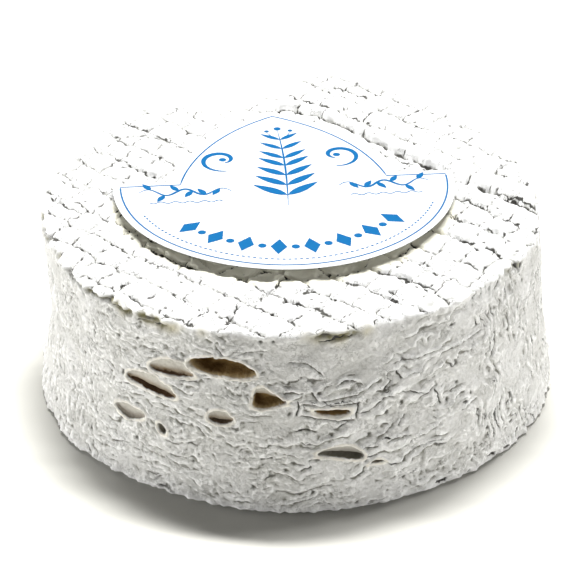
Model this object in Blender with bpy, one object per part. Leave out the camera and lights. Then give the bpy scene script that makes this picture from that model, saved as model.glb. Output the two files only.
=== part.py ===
"""A small drum of ash-coated goat cheese with a die-cut paper label lying on its top.

Run it with: blender --background --python part.py
Metres, +Z up, origin at the middle of the flat underside, -Y is the front.
"""

import math

import bmesh
import bpy
from mathutils import Matrix, Vector, noise

MM = 0.001
RIND_COLOUR = (0.62, 0.61, 0.57)
RIND_ROUGHNESS = 0.9
PAPER_COLOUR = (0.93, 0.94, 0.94)
PAPER_ROUGHNESS = 0.45

# Driving sizes of the drum, in millimetres
HEIGHT = 38.7
RIM_ROUND = 1.5
FOOT_ROUND = 1.2
# Radius of the upper rim every 15 degrees, from the front (-Y) round by the right (+X)
RIM_RADII = [
    50.2, 49.0, 48.3, 48.3, 48.6, 49.0, 47.4, 47.9, 46.8, 47.2, 48.6, 51.2,
    50.8, 45.5, 46.5, 49.8, 47.4, 48.4, 49.6, 49.8, 50.0, 50.4, 50.6, 50.5,
]
# Radius of the foot every 30 degrees, and how far the wall bows out half way up every 90 degrees
FOOT_RADII = [52.9, 52.2, 52.6, 51.9, 51.6, 51.4, 51.6, 51.4, 51.3, 51.0, 52.4, 52.1]
WALL_BOWS = [0.5, -0.5, 0.3, -2.0]

# Spare curd below the floor line, which the flat underside is cut from
SPARE = 0.5

# Mesh density before it is thinned out, and the share of faces that stays
SEGMENTS = 360
COVERED_RINGS = [6.0, 12.0, 18.0]
FIRST_OPEN_RING = 22.0
OPEN_RING_STEP = 0.8
WALL_ROWS = 34
ARC_STEPS = 4
SEAM_GAP = 0.0005
SHARP_ANGLE = 50.0
KEPT_SHARE = 0.12

# Relief of the upper face: a shallow dish, a worn back edge and a raised slab right of the long furrow.
# It fades out down the wall, from the full height to this share of it.
RELIEF_FADE = 0.55
DISH_DEPTH = 2.0
DISH_CENTRE = (-4.0, -8.0)
DISH_SPREAD = 26.0
WORN_DEPTH = 3.6
WORN_CENTRE = (-12.0, 45.0)
WORN_SPREAD = (7.5, 8.0)
SLAB_RISE = 1.3
SLAB_EDGE = 0.9
SLAB_FADE = 20.0

# Lumps that cover the whole rind: height and size of each layer; those on the wall lie flat
WALL_LUMPS = [(0.45, 7.0), (0.30, 3.2)]
WALL_LUMP_SQUASH = 1.7
FACE_LUMPS = [(0.24, 8.0), (0.16, 3.0)]
CHIP_DEPTH = 1.1
CHIP_SIZE = 4.5

# Planes of the noise field that each kind of relief reads
CHIP_PLANE = 50.0
WANDER_PLANE = 90.0
FADE_PLANE = 130.0

# The foot of the raised slab, from back left to front right, and the slab's short left end
LONG_FURROW = [(-6.0, 38.5), (0.0, 37.0), (10.0, 29.5), (20.0, 18.5), (30.0, 9.4), (50.0, -9.0)]
SLAB_END = [(2.0, 54.0), (-3.0, 43.5), (-6.0, 38.5)]

# Furrows and cross cracks that the draining mat pressed into the upper face
MAT_ANGLE = -40.0
MAT_PITCH = 6.15
MAT_OFFSET = 26.0
MAT_WANDER = 1.6
MAT_WANDER_SIZE = 9.0
MAT_FADE_SIZE = 11.0
FURROW_WIDTH = 2.2
FURROW_DEPTH = 0.9
CRACK_PITCH = 7.5
CRACK_WIDTH = 1.7
CRACK_DEPTH = 0.65

# Eyes of the curd that open on the wall: azimuth in degrees from the front, height,
# width, opening, depth, how far the middle arches up, and tilt in degrees
EYE_SEGMENTS = 12
EYE_RINGS = 7
EYES = {
    "long": (-15.5, 30.0, 11.4, 2.8, 3.6, 0.5, -3.0),
    "crescent": (-27.0, 26.6, 9.0, 2.0, 2.6, 0.8, 4.0),
    "slanted": (-32.0, 22.9, 10.6, 2.3, 3.2, 0.7, -3.0),
    "corner": (-5.6, 24.6, 6.0, 3.8, 3.4, 0.0, 12.0),
    "boat": (7.0, 22.2, 9.8, 2.0, 2.8, -0.4, -5.0),
    "arch": (10.0, 12.4, 8.4, 2.3, 2.2, 0.7, -8.0),
    "oval": (-15.2, 19.6, 4.2, 2.1, 2.2, 0.2, 0.0),
    "left": (-38.0, 14.8, 6.2, 1.8, 2.0, -0.2, 8.0),
    "pip": (-28.7, 13.6, 2.2, 1.8, 1.3, 0.0, -30.0),
    "cleft": (32.6, 19.5, 4.2, 1.0, 1.5, 0.0, -68.0),
    "nick": (17.6, 9.7, 2.9, 0.9, 1.0, 0.2, 0.0),
    "back_long": (150.0, 24.0, 9.0, 2.4, 2.8, 0.5, 6.0),
    "back_oval": (168.0, 14.0, 4.6, 2.0, 2.0, 0.2, -10.0),
    "flank_slot": (103.0, 20.0, 7.0, 1.9, 2.2, 0.5, 10.0),
    "rear_slot": (-128.0, 18.0, 7.6, 2.0, 2.4, 0.4, -6.0),
}

# The paper label: a half disc below its base line and a pointed arch above it
LABEL_ORIGIN = (-1.9, 4.2)
LABEL_TURN = 5.2
LABEL_RADIUS = 33.5
LABEL_DISC_DROP = 0.9
SHOULDER_RISE = 1.3
ARCH_HALF_WIDTH = 21.8
ARCH_HEIGHT = 29.0
ARCH_SIDE_RADIUS = 41.0
LABEL_THICKNESS = 0.3
LABEL_LIFT = 0.4
LABEL_FRONT_LIFT = 0.3
LABEL_STRIPS = 12
LABEL_SAG = 0.2
ARC_POINTS = 14
DISC_POINTS = 48


def clear_scene():
    for obj in list(bpy.data.objects):
        bpy.data.objects.remove(obj)


def material(name, colour, roughness):
    made = bpy.data.materials.new(name)
    made.use_nodes = True
    shader = made.node_tree.nodes["Principled BSDF"]
    shader.inputs["Base Color"].default_value = (*colour, 1.0)
    shader.inputs["Roughness"].default_value = roughness
    shader.inputs["Metallic"].default_value = 0.0
    return made


def smooth(low, high, value):
    """0 below low, 1 above high, with an eased ramp between them."""
    t = min(1.0, max(0.0, (value - low) / (high - low)))
    return t * t * (3.0 - 2.0 * t)


def around(values, azimuth):
    """A smooth closed curve through evenly spaced values, read at an azimuth in degrees."""
    place = (azimuth % 360.0) / 360.0 * len(values)
    first = int(place)
    t = place - first
    a, b, c, d = (values[(first + k) % len(values)] for k in (-1, 0, 1, 2))
    slope_b = (c - a) / 2.0
    slope_c = (d - b) / 2.0
    return (
        (2 * t**3 - 3 * t**2 + 1) * b
        + (t**3 - 2 * t**2 + t) * slope_b
        + (3 * t**2 - 2 * t**3) * c
        + (t**3 - t**2) * slope_c
    )


def wall_radius(height, azimuth):
    """Radius of the wall at this height, without its lumps."""
    share = min(1.0, max(0.0, (height - FOOT_ROUND) / (HEIGHT - RIM_ROUND - FOOT_ROUND)))
    foot, rim = around(FOOT_RADII, azimuth), around(RIM_RADII, azimuth)
    return foot + (rim - foot) * share + around(WALL_BOWS, azimuth) * math.sin(math.pi * share)


def azimuth_of(x, y):
    """Degrees from the front (-Y), growing towards the right (+X)."""
    return math.degrees(math.atan2(x, -y))


def lumps(layers, point):
    return sum(height * noise.noise(point / size) for height, size in layers)


def offset_from(line, x, y):
    """Signed distance from a line of points, positive to the left of its way."""
    best = math.inf
    for (x0, y0), (x1, y1) in zip(line, line[1:]):
        dx, dy = x1 - x0, y1 - y0
        t = min(1.0, max(0.0, ((x - x0) * dx + (y - y0) * dy) / (dx * dx + dy * dy)))
        gap_x, gap_y = x - x0 - t * dx, y - y0 - t * dy
        length = math.hypot(gap_x, gap_y)
        if length < abs(best):
            best = math.copysign(length, gap_y * dx - gap_x * dy)
    return best


def mat_imprint(x, y):
    """Depth of the mat's furrows and of the cracks across them, which come and go over the face."""
    angle = math.radians(MAT_ANGLE)
    along = x * math.cos(angle) + y * math.sin(angle)
    across = y * math.cos(angle) - x * math.sin(angle)
    wander = MAT_WANDER * noise.noise(Vector((x, y, WANDER_PLANE)) / MAT_WANDER_SIZE)
    row = (across - MAT_OFFSET + wander) / MAT_PITCH
    column = (along + wander) / CRACK_PITCH + noise.cell(Vector((math.floor(row), 0.0, 0.0)))
    from_furrow = abs(row - round(row)) * MAT_PITCH / (FURROW_WIDTH / 2)
    from_crack = abs(column - round(column)) * CRACK_PITCH / (CRACK_WIDTH / 2)
    furrow = FURROW_DEPTH * max(0.0, 1.0 - from_furrow)
    crack = CRACK_DEPTH * max(0.0, 1.0 - from_crack)
    presence = smooth(-0.3, 0.3, noise.noise(Vector((x, y, FADE_PLANE)) / MAT_FADE_SIZE))
    return max(furrow, crack) * presence


def face_relief(x, y):
    """How far the upper face stands above or below its mean plane."""
    dish = math.hypot(x - DISH_CENTRE[0], y - DISH_CENTRE[1]) / DISH_SPREAD
    worn_x = (x - WORN_CENTRE[0]) / WORN_SPREAD[0]
    worn_y = (y - WORN_CENTRE[1]) / WORN_SPREAD[1]
    beyond = min(offset_from(LONG_FURROW, x, y), offset_from(SLAB_END, x, y))
    slab = smooth(0.0, SLAB_EDGE, beyond) * max(0.0, 1.0 - beyond / SLAB_FADE)
    slab_foot = FURROW_DEPTH * max(0.0, 1.0 - abs(beyond) / (FURROW_WIDTH / 2))
    return (
        -DISH_DEPTH * math.exp(-0.5 * dish * dish)
        - WORN_DEPTH * math.exp(-0.5 * (worn_x**2 + worn_y**2))
        + SLAB_RISE * slab
        + lumps(FACE_LUMPS, Vector((x, y, 0.0)))
        - max(slab_foot, mat_imprint(x, y))
    )


def drum_profile():
    """(inset, height) points from the middle of the upper face down to the end of the spare curd."""
    rim = min(RIM_RADII)
    radii = list(COVERED_RINGS)
    while radii[-1] < rim - RIM_ROUND - OPEN_RING_STEP:
        radii.append(max(FIRST_OPEN_RING, radii[-1] + OPEN_RING_STEP))
    points = [(1.0, HEIGHT)] + [(1.0 - radius / rim, HEIGHT) for radius in radii]
    quarter = [math.pi / 2 * step / ARC_STEPS for step in range(ARC_STEPS + 1)]
    for angle in quarter:
        points.append((RIM_ROUND / rim * (1 - math.sin(angle)), HEIGHT - RIM_ROUND * (1 - math.cos(angle))))
    wall_top = HEIGHT - RIM_ROUND
    for row in range(1, WALL_ROWS):
        points.append((0.0, wall_top + (FOOT_ROUND - wall_top) * row / WALL_ROWS))
    for angle in quarter:
        points.append((FOOT_ROUND / rim * (1 - math.cos(angle)), FOOT_ROUND * (1 - math.sin(angle))))
    points.append((FOOT_ROUND / rim, -SPARE))
    return points


def shaped(inset, height, azimuth):
    """Where a point of the plain drum lies on the real one; inset is 0 on the wall and 1 on the axis."""
    radius = wall_radius(height, azimuth) * (1.0 - inset)
    angle = math.radians(azimuth)
    x, y = radius * math.sin(angle), -radius * math.cos(angle)
    on_wall = smooth(FIRST_OPEN_RING, min(RIM_RADII), radius)
    above_foot = smooth(0.0, FOOT_ROUND, height)
    swell = above_foot * on_wall * lumps(WALL_LUMPS, Vector((x, y, WALL_LUMP_SQUASH * height)))
    chip = noise.noise(Vector((x, y, CHIP_PLANE)) / CHIP_SIZE)
    swell -= CHIP_DEPTH * max(0.0, chip) * on_wall * smooth(HEIGHT - 2 * RIM_ROUND, HEIGHT, height)
    x += swell * math.sin(angle)
    y -= swell * math.cos(angle)
    return Vector((x, y, height + face_relief(x, y) * smooth(RELIEF_FADE * HEIGHT, HEIGHT, height)))


def cheese_body():
    """The drum: its profile spun round the axis, then pushed to the uneven real shape."""
    mesh = bmesh.new()
    profile = [mesh.verts.new((0.0, inset - 1.0, height)) for inset, height in drum_profile()]
    edges = [mesh.edges.new(pair) for pair in zip(profile, profile[1:])]
    bmesh.ops.spin(
        mesh, geom=profile + edges, cent=(0, 0, 0), axis=(0, 0, 1), angle=2 * math.pi, steps=SEGMENTS
    )
    bmesh.ops.remove_doubles(mesh, verts=mesh.verts, dist=SEAM_GAP)
    foot = [edge for edge in mesh.edges if edge.is_boundary]
    bmesh.ops.contextual_create(mesh, geom=foot)
    for vert in mesh.verts:
        inset = 1.0 - math.hypot(vert.co.x, vert.co.y)
        vert.co = shaped(inset, vert.co.z, azimuth_of(vert.co.x, vert.co.y)) * MM
    bmesh.ops.recalc_face_normals(mesh, faces=mesh.faces)
    bmesh.ops.triangulate(mesh, faces=mesh.faces)
    data = bpy.data.meshes.new("cheese")
    mesh.to_mesh(data)
    mesh.free()
    body = bpy.data.objects.new("cheese", data)
    bpy.context.scene.collection.objects.link(body)
    data.shade_smooth()
    data.set_sharp_from_angle(angle=math.radians(SHARP_ANGLE))
    return body


def as_cutter(name, mesh, tools):
    data = bpy.data.meshes.new(name)
    bmesh.ops.recalc_face_normals(mesh, faces=mesh.faces)
    mesh.to_mesh(data)
    mesh.free()
    cutter = bpy.data.objects.new(name, data)
    cutter.hide_render = True
    cutter.display_type = "WIRE"
    tools.objects.link(cutter)
    return cutter


def eye_cutter(name, azimuth, height, width, opening, depth, arch, tilt, tools):
    """A bent lens standing half in the wall, which leaves an eye of the curd open."""
    mesh = bmesh.new()
    bmesh.ops.create_uvsphere(mesh, u_segments=EYE_SEGMENTS, v_segments=EYE_RINGS, radius=1.0)
    turn = Matrix.Rotation(math.radians(tilt), 3, "Y")
    for vert in mesh.verts:
        along, inward, up = vert.co.x, vert.co.y, vert.co.z
        bend = arch * (1.0 - 2.0 * along * along)
        vert.co = turn @ Vector((along * width / 2, inward * depth, up * opening / 2 + bend)) * MM
    cutter = as_cutter("eye_" + name, mesh, tools)
    angle = math.radians(azimuth)
    radius = wall_radius(height, azimuth)
    cutter.location = Vector((radius * math.sin(angle), -radius * math.cos(angle), height)) * MM
    cutter.rotation_euler = (0.0, 0.0, angle)
    return cutter


def floor_cutter(tools):
    """A block whose top is the floor line."""
    mesh = bmesh.new()
    bmesh.ops.create_cube(mesh, size=4 * max(FOOT_RADII) * MM)
    cutter = as_cutter("floor_line", mesh, tools)
    cutter.location = (0.0, 0.0, -2 * max(FOOT_RADII) * MM)
    return cutter


def cheese():
    body = cheese_body()
    body.data.materials.append(material("ash_rind", RIND_COLOUR, RIND_ROUGHNESS))
    tools = bpy.data.collections.new("cutters")
    bpy.context.scene.collection.children.link(tools)
    tools.hide_render = True
    floor_cutter(tools)
    for name, sizes in EYES.items():
        eye_cutter(name, *sizes, tools)
    thin = body.modifiers.new("thin_out", "DECIMATE")
    thin.ratio = KEPT_SHARE
    cut = body.modifiers.new("floor_and_eyes", "BOOLEAN")
    cut.operation = "DIFFERENCE"
    cut.operand_type = "COLLECTION"
    cut.collection = tools
    cut.solver = "MANIFOLD"
    return body


def arc(start, end, radius, points):
    """Points along an arc that bulges to the right of the way from start to end, end left out."""
    start, end = Vector(start), Vector(end)
    chord = end - start
    middle = (start + end) / 2
    across = Vector((-chord.y, chord.x)).normalized()
    centre = middle + across * math.sqrt(radius**2 - (chord.length / 2) ** 2)
    first = math.atan2(start.y - centre.y, start.x - centre.x)
    last = math.atan2(end.y - centre.y, end.x - centre.x)
    if last < first:
        last += 2 * math.pi
    steps = [first + (last - first) * k / points for k in range(points)]
    return [(centre.x + radius * math.cos(a), centre.y + radius * math.sin(a)) for a in steps]


def label_outline():
    """The label's edge in its own plane, counter-clockwise from the right-hand tip of its base line."""
    tip = math.sqrt(LABEL_RADIUS**2 - LABEL_DISC_DROP**2)
    outline = [(tip, SHOULDER_RISE)]
    outline += arc((ARCH_HALF_WIDTH, SHOULDER_RISE), (0.0, ARCH_HEIGHT), ARCH_SIDE_RADIUS, ARC_POINTS)
    outline += arc((0.0, ARCH_HEIGHT), (-ARCH_HALF_WIDTH, SHOULDER_RISE), ARCH_SIDE_RADIUS, ARC_POINTS)
    outline += [(-ARCH_HALF_WIDTH, SHOULDER_RISE), (-tip, SHOULDER_RISE)]
    for step in range(DISC_POINTS + 1):
        angle = math.pi + math.pi * step / DISC_POINTS
        outline.append((LABEL_RADIUS * math.cos(angle), LABEL_RADIUS * math.sin(angle) - LABEL_DISC_DROP))
    return outline


def label():
    """A sheet of paper cut to the outline, bowed a little from side to side and raised at its front."""
    mesh = bmesh.new()
    face = mesh.faces.new([mesh.verts.new((u, v, 0.0)) for u, v in label_outline()])
    for strip in range(1, LABEL_STRIPS):
        across = -LABEL_RADIUS + 2 * LABEL_RADIUS * strip / LABEL_STRIPS
        bmesh.ops.bisect_plane(
            mesh, geom=mesh.verts[:] + mesh.edges[:] + mesh.faces[:], dist=1e-5,
            plane_co=(across, 0, 0), plane_no=(1, 0, 0),
        )
    for vert in mesh.verts:
        tilt = -LABEL_FRONT_LIFT * vert.co.y / LABEL_RADIUS
        vert.co.z = tilt - LABEL_SAG * (vert.co.x / LABEL_RADIUS) ** 2
    sheet = bmesh.ops.extrude_face_region(mesh, geom=mesh.faces[:])
    for part in sheet["geom"]:
        if isinstance(part, bmesh.types.BMVert):
            part.co.z += LABEL_THICKNESS
    bmesh.ops.recalc_face_normals(mesh, faces=mesh.faces)
    bmesh.ops.scale(mesh, vec=(MM, MM, MM), verts=mesh.verts)
    data = bpy.data.meshes.new("label")
    mesh.to_mesh(data)
    mesh.free()
    paper = bpy.data.objects.new("label", data)
    bpy.context.scene.collection.objects.link(paper)
    paper.location = Vector((*LABEL_ORIGIN, HEIGHT + LABEL_LIFT)) * MM
    paper.rotation_euler = (0.0, 0.0, math.radians(LABEL_TURN))
    paper.data.materials.append(material("label_paper", PAPER_COLOUR, PAPER_ROUGHNESS))
    return paper


clear_scene()
cheese()
label()
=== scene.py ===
"""The ash-coated goat cheese in full detail, with its paper label, and the studio round it.

Lengths are millimetres until a mesh is made, then metres. -Y is the front, +Z is up.
"""

import math

import bmesh
import bpy
import numpy as np
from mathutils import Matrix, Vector


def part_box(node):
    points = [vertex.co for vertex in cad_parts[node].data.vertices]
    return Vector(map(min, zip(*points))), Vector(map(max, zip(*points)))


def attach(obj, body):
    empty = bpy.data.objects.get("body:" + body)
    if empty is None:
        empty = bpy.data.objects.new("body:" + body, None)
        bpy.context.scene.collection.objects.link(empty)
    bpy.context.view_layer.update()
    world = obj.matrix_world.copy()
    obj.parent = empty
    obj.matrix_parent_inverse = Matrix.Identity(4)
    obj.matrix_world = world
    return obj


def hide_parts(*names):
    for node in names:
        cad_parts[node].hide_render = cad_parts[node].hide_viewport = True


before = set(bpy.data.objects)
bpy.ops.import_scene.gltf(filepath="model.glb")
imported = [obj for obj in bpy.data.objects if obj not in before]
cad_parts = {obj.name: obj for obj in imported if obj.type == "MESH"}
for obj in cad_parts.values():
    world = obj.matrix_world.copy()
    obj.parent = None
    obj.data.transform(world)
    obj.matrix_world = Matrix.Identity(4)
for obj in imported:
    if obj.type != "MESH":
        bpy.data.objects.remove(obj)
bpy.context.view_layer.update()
MM = 0.001

# Main form of the drum, as in the part
HEIGHT = 38.7
RIM_ROUND = 1.1
FOOT_ROUND = 0.9
RIM_RADII = np.array([
    50.2, 49.0, 48.3, 48.3, 48.6, 49.0, 47.4, 47.9, 46.8, 47.2, 48.6, 51.2,
    50.8, 45.5, 46.5, 49.8, 47.4, 48.4, 49.6, 49.8, 50.0, 50.4, 50.6, 50.5,
])
FOOT_RADII = np.array([52.9, 52.2, 52.6, 51.9, 51.6, 51.4, 51.6, 51.4, 51.3, 51.0, 52.4, 52.1])
WALL_BOWS = np.array([0.5, -0.5, 0.3, -2.0])
RELIEF_FADE = 0.55
DISH = {"depth": 2.0, "x": -4.0, "y": -8.0, "spread": 26.0}
WORN = {"depth": 3.6, "x": -12.0, "y": 45.0, "spread_x": 7.5, "spread_y": 8.0}
SLAB_RISE = 1.3
SLAB_EDGE = 1.0
SLAB_FADE = 20.0
SLAB_FOOT = [(-6.0, 38.5), (0.0, 37.0), (10.0, 29.5), (20.0, 18.5), (30.0, 9.4), (50.0, -9.0)]
SLAB_END = [(2.0, 54.0), (-3.0, 43.5), (-6.0, 38.5)]

# Mesh of the rind before it is thinned out, and how many triangles stay
CIRCUMFERENCE = 2 * math.pi * 50.0
COLUMNS = 1420
FRONT_DENSITY = 0.28
HIDDEN_RADII = [5.0, 10.0, 14.0, 16.5]
FIRST_RADIUS = 18.0
FACE_STEP = 0.22
WALL_STEP = 0.19
ARC_STEPS = 8
KEPT_TRIANGLES = 195000

# The mat's imprint on the upper face
MAT_ANGLE = math.radians(-40.0)
MAT_PITCH = 6.15
MAT_OFFSET = 26.0
CRACK_PITCH = 5.7

# Strong cracks of the upper face: x and y of both ends, bow to the left of the way, width
FACE_CRACKS = {
    "right_first": (31.0, 0.8, 39.2, -6.4, 0.3, 0.3),
    "right_second": (29.0, -5.2, 37.0, -12.0, -0.2, 0.2),
    "right_third": (26.2, -11.2, 35.5, -18.4, -0.3, 0.34),
    "right_end": (36.4, -19.0, 39.2, -22.8, 0.3, 0.5),
    "right_short": (37.0, -12.4, 39.6, -15.4, 0.2, 0.34),
    "right_far": (42.0, -0.6, 45.4, -3.6, 0.6, 0.5),
    "hollow_furrow": (14.6, -26.4, 26.6, -35.4, 0.8, 0.42),
    "before_hollow": (17.4, -34.2, 20.4, -38.4, 0.1, 0.34),
    "middle_right": (20.6, -22.4, 26.2, -26.2, -0.4, 0.26),
    "front_furrow": (-2.8, -37.0, 7.4, -44.0, 0.7, 0.4),
    "front_cross": (-8.2, -39.2, -1.0, -27.8, -0.7, 0.34),
    "front_short": (0.2, -35.0, 3.0, -32.0, 0.0, 0.26),
    "left_cross": (-12.9, -47.0, -10.4, -39.0, -0.7, 0.34),
    "left_row": (-20.0, -39.4, -15.8, -42.6, 0.0, 0.24),
    "left_split": (-33.9, -35.6, -30.8, -31.4, -0.2, 0.3),
    "left_tick": (-25.2, -43.2, -23.6, -40.4, 0.0, 0.26),
    "under_label": (-30.2, -16.4, -17.2, -27.2, -0.5, 0.5),
    "rim_row": (-35.2, 13.0, -27.2, 8.0, 0.8, 0.42),
    "rim_row_end": (-46.8, 5.8, -42.2, 3.0, 0.3, 0.34),
    "rim_loop": (-48.4, 0.4, -40.8, -6.4, -0.6, 0.36),
    "label_side": (-34.2, -4.2, -38.0, -9.0, 0.2, 0.42),
    "label_side_low": (-31.0, -11.2, -33.6, -14.8, 0.3, 0.42),
    "rim_left": (-39.4, -22.8, -41.8, -28.4, -0.3, 0.34),
    "back_left": (-38.0, 24.6, -24.2, 22.0, 1.6, 0.4),
    "back_edge": (8.0, 46.0, 16.0, 40.0, 0.4, 0.36),
}
FACE_CRACK_DEPTH = 0.75

# Folds of the wall that stand out: azimuth and height of both ends, bow, width, lip height, darkness
WALL_FOLDS = {
    "long_fold": (4.6, 24.3, 19.2, 27.2, -1.0, 0.42, 0.4, 0.6),
    "fold_drop": (3.4, 26.9, 5.0, 24.3, -0.1, 0.34, 0.3, 0.8),
    "step_rise": (19.8, 27.0, 22.2, 28.2, 0.5, 0.34, 0.34, 0.8),
    "step_fall": (22.2, 28.2, 23.4, 25.8, -0.1, 0.34, 0.3, 0.9),
    "step_run": (23.4, 25.9, 28.2, 26.0, 0.3, 0.36, 0.34, 0.5),
    "knee": (28.0, 25.2, 31.6, 28.4, 0.8, 0.36, 0.34, 0.6),
    "hook": (8.4, 26.9, 13.4, 27.4, 0.9, 0.34, 0.32, 0.9),
    "broken": (23.0, 23.4, 29.2, 21.2, 0.0, 0.22, 0.1, 0.9),
    "slash": (18.9, 24.4, 21.0, 26.2, 0.0, 0.3, 0.16, 0.8),
    "short_bar": (18.4, 23.2, 21.6, 22.7, 0.1, 0.42, 0.2, 0.7),
    "cleft": (31.4, 21.7, 32.9, 17.7, 0.1, 0.38, 0.22, 1.0),
    "low_crease": (22.8, 9.2, 33.0, 10.6, 0.7, 0.34, 0.34, 0.55),
    "upper_right": (21.2, 29.8, 34.8, 29.6, -0.3, 0.34, 0.3, 0.4),
    "far_right": (35.0, 28.6, 46.0, 29.4, -0.3, 0.26, 0.2, 0.3),
    "slant_low": (17.2, 15.0, 21.2, 17.2, -0.3, 0.36, 0.32, 0.5),
    "slant_wave": (19.2, 13.4, 25.4, 13.6, 0.5, 0.38, 0.34, 0.4),
    "slant_wave_end": (25.4, 12.7, 32.8, 14.6, -0.5, 0.38, 0.34, 0.45),
    "slant_short": (22.3, 15.9, 24.0, 18.4, 0.2, 0.34, 0.3, 0.5),
    "right_edge": (38.0, 14.9, 43.2, 15.6, 0.2, 0.36, 0.3, 0.45),
    "calm_arc": (-1.6, 32.6, 6.2, 28.8, 1.5, 0.3, 0.18, 0.3),
    "left_slip": (-37.2, 26.0, -30.0, 25.2, 0.4, 0.26, 0.18, 0.6),
    "by_corner": (-2.2, 26.2, 2.2, 26.4, 0.2, 0.4, 0.22, 0.7),
    "low_bar": (2.8, 11.8, 5.4, 12.2, 0.1, 0.4, 0.2, 0.8),
    "low_tick": (1.2, 9.7, 3.8, 10.6, 0.1, 0.4, 0.2, 0.8),
    # The rim gaps are real cuts under the rim's flakes, drawn near black there as painted shade.
    "rim_gap_far": (-63.0, 37.4, -56.0, 36.3, 0.3, 0.6, 0.5, 1.0),
    "rim_gap_left": (-55.0, 37.3, -47.5, 37.0, -0.3, 0.56, 0.5, 1.0),
    "rim_gap_middle": (-46.0, 37.2, -36.5, 36.7, 0.3, 0.5, 0.45, 1.0),
    "rim_gap_low": (-35.0, 36.6, -27.0, 37.0, 0.1, 0.36, 0.35, 0.8),
    "rim_gap_front": (4.6, 36.9, 13.0, 37.2, -0.4, 0.4, 0.35, 0.8),
    "rim_gap_back": (132.0, 37.2, 146.0, 36.8, 0.4, 0.5, 0.45, 1.0),
    "rim_gap_flank": (-112.0, 37.0, -96.0, 37.3, 0.3, 0.5, 0.45, 1.0),
    "base_speck": (31.0, 1.4, 34.0, 1.0, 0.0, 1.0, 0.1, 1.0),
    "base_speck_right": (44.8, 1.6, 48.4, 1.1, 0.1, 1.0, 0.1, 1.0),
    "base_speck_far": (50.4, 1.2, 53.0, 0.9, 0.0, 0.8, 0.1, 1.0),
    "boat_ring_top": (0.6, 24.2, 13.6, 22.9, -0.3, 0.42, 0.4, 1.0),
    "boat_ring_low": (0.7, 21.7, 13.0, 19.5, -0.4, 0.42, 0.4, 1.0),
    "boat_ring_end": (13.6, 23.5, 13.0, 19.6, 0.0, 0.38, 0.2, 1.0),
    "boat_ring_start": (0.6, 24.8, 0.6, 21.2, 0.3, 0.38, 0.2, 1.0),
    "low_left": (-7.0, 11.8, -4.0, 12.5, 0.2, 0.4, 0.2, 0.8),
}
FOLD_DEPTH = 0.62

# Eyes of the curd: azimuth, height, width, opening, depth, arch, tilt, wedge, roundness, brow, brownness (how
# much of the curd's tan inside is deepened to brown as painted bounce light and shade)
EYES = {
    "long": (-15.0, 30.5, 13.0, 4.0, 3.4, 0.7, -2.0, 0.0, 1.65, 0.72, 1.0),
    "crescent": (-26.4, 27.9, 9.8, 3.5, 2.2, 0.9, 5.0, 0.0, 1.6, -0.8, 1.0),
    "slanted": (-31.5, 23.0, 11.6, 3.5, 2.4, 0.9, -4.0, 0.0, 1.75, -0.74, 1.0),
    "corner": (-4.9, 24.9, 6.0, 3.5, 2.9, 0.0, -8.0, 0.65, 2.6, 0.15, 1.0),
    "boat": (7.9, 21.8, 6.8, 1.3, 2.0, -0.3, -7.0, 0.0, 2.2, 0.4, 1.0),
    "arch": (9.7, 12.9, 8.6, 2.5, 1.5, 0.7, -10.0, -0.35, 2.0, -0.2, 0.0),
    "oval": (-15.1, 20.0, 4.8, 2.8, 1.6, 0.2, 4.0, 0.0, 1.9, -0.66, 0.8),
    "left": (-37.0, 15.3, 7.4, 2.8, 1.3, -0.1, 3.0, 0.0, 1.7, -0.84, 0.3),
    "pip": (-28.4, 14.4, 2.4, 1.4, 0.9, 0.0, -45.0, 0.0, 1.8, -0.2, 0.1),
    "nick": (17.2, 9.9, 2.8, 0.9, 1.1, 0.3, 0.0, 0.0, 1.6, 0.5, 0.3),
    "back_long": (150.0, 24.0, 9.0, 3.2, 2.6, 0.5, 6.0, 0.0, 1.7, 0.0, 1.0),
    "back_oval": (168.0, 14.0, 4.6, 2.8, 2.0, 0.2, -10.0, 0.0, 1.9, -0.2, 0.6),
    "flank_slot": (103.0, 20.0, 7.0, 2.6, 2.2, 0.5, 10.0, 0.0, 1.7, -0.1, 0.8),
    "rear_slot": (-128.0, 18.0, 7.6, 3.0, 2.2, 0.4, -6.0, 0.0, 1.7, -0.1, 0.9),
}
LIP_HEIGHT = 0.34
LIP_OFFSET = 0.30
LIP_REACH = 0.34
BROW_SHARE = 0.20

# Noise layers: strength, sizes along and across in millimetres, and seed of each
SLAB_JAG = ((0.6, 3.0, 3.0, 61), (0.2, 1.3, 1.3, 62))
FACE_JAG = ((0.5, 1.6, 1.6, 3), (0.24, 0.7, 0.7, 46))
FACE_WANDER = ((0.9, 9.0, 9.0, 1), (0.5, 3.4, 3.4, 2))
FACE_WAVES = ((0.26, 8.0, 8.0, 18), (0.24, 3.6, 3.6, 19))
FACE_CRUMBS = ((0.07, 1.7, 1.7, 15), (0.06, 0.8, 0.8, 16), (0.04, 0.45, 0.45, 17))
FURROW_PATCHES = ((1.0, 7.5, 7.5, 4), (0.4, 2.6, 2.6, 5))
CRACK_PATCHES = ((1.0, 6.0, 6.0, 6), (0.5, 2.2, 2.2, 7))
DASH_PATCHES = ((1.0, 2.6, 2.6, 8), (0.4, 0.9, 0.9, 9))
BEND_ALONG = ((1.7, 7.0, 6.5, 21), (0.8, 2.8, 2.6, 22), (0.3, 1.2, 1.1, 60))
BEND_UP = ((1.9, 7.0, 7.0, 23), (0.9, 2.8, 2.6, 24), (0.35, 1.2, 1.1, 48))
WALL_LUMPS = ((0.42, 13.0, 9.0, 36), (0.32, 5.5, 4.0, 37))
WALL_CRUMBS = ((0.11, 2.0, 0.9, 32), (0.09, 1.1, 0.55, 33))
FOLD_JAG = ((0.25, 2.2, 2.2, 51), (0.18, 0.9, 0.9, 52))
RIM_CHIPS = ((0.5, 2.0, 2.0, 42), (0.3, 0.9, 1.0, 43))
RIM_UNDERSIDE = ((0.9, 3.0, 9.0, 53), (0.3, 1.2, 3.0, 57))
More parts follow.
